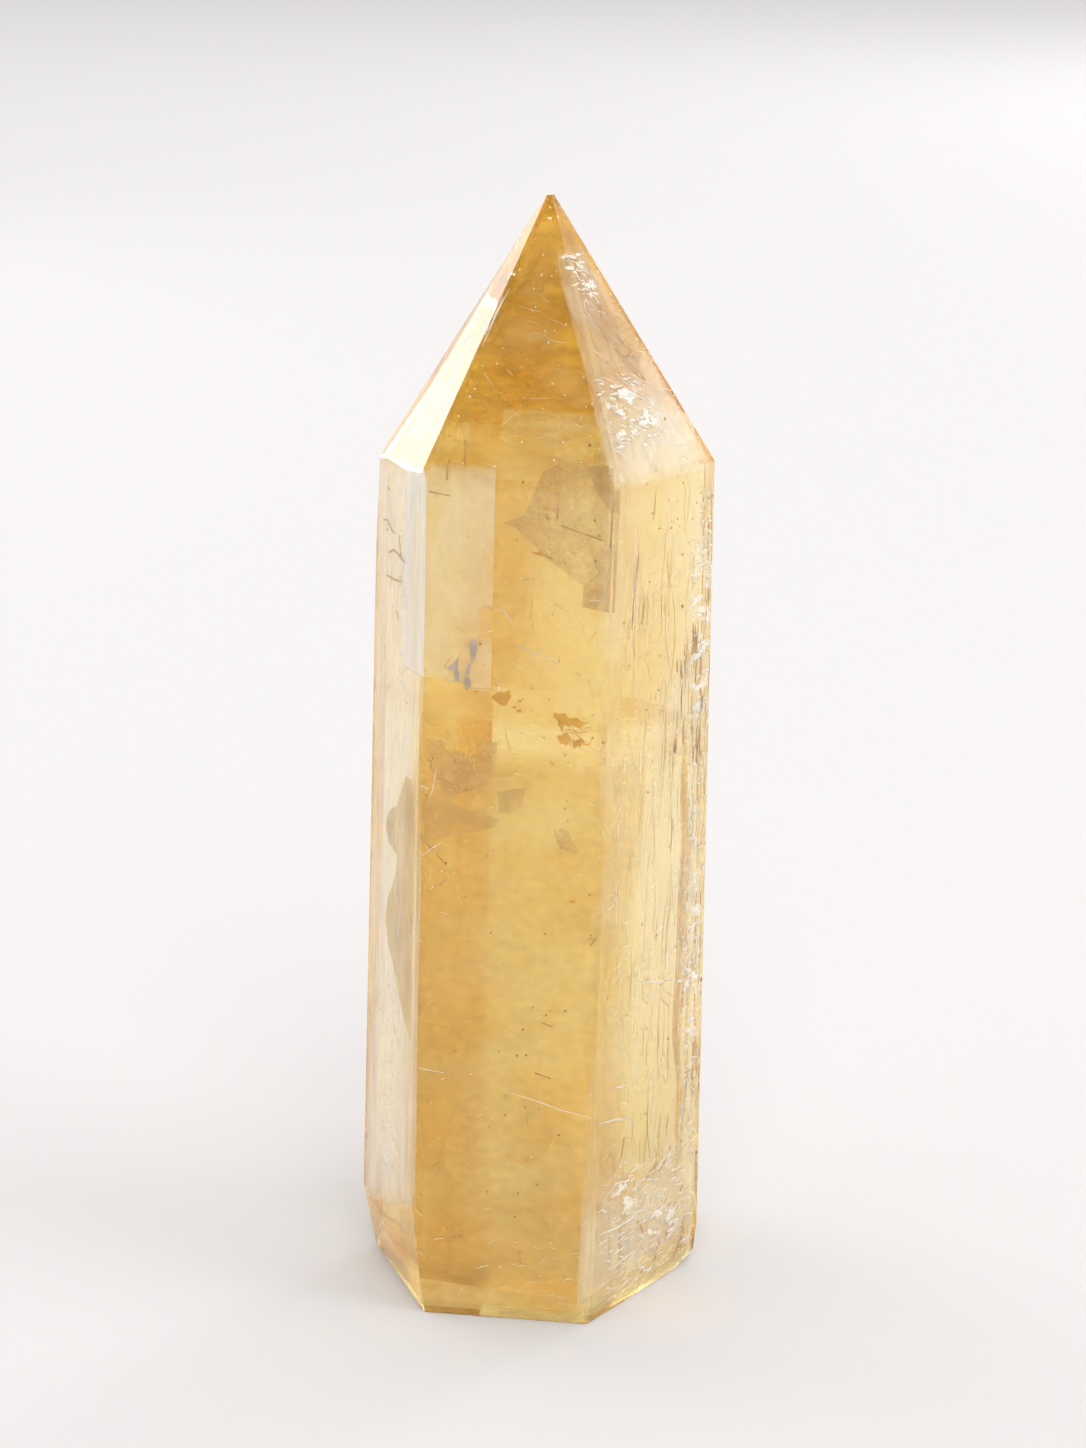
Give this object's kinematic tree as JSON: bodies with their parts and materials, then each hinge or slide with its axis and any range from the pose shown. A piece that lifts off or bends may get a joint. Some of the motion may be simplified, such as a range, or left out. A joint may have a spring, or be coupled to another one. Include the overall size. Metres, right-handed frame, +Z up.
{
  "type": "citrine obelisk",
  "caption": "Polished citrine crystal tower: a six-sided column of clear honey-yellow quartz ground to a point, standing on a flat sawn base.",
  "frame": {"origin": "the middle of the flat base, on the surface that the stone stands on", "axes": "+Z up from the base to the tip; the broad front face looks towards -Y; +X is to its right"},
  "size_m": [0.0316, 0.0278, 0.1],
  "materials": {
    "citrine": "polished, see-through honey-yellow quartz"
  },
  "bodies": {
    "root": {"citrine_tower": "citrine"}
  },
  "joints": []
}
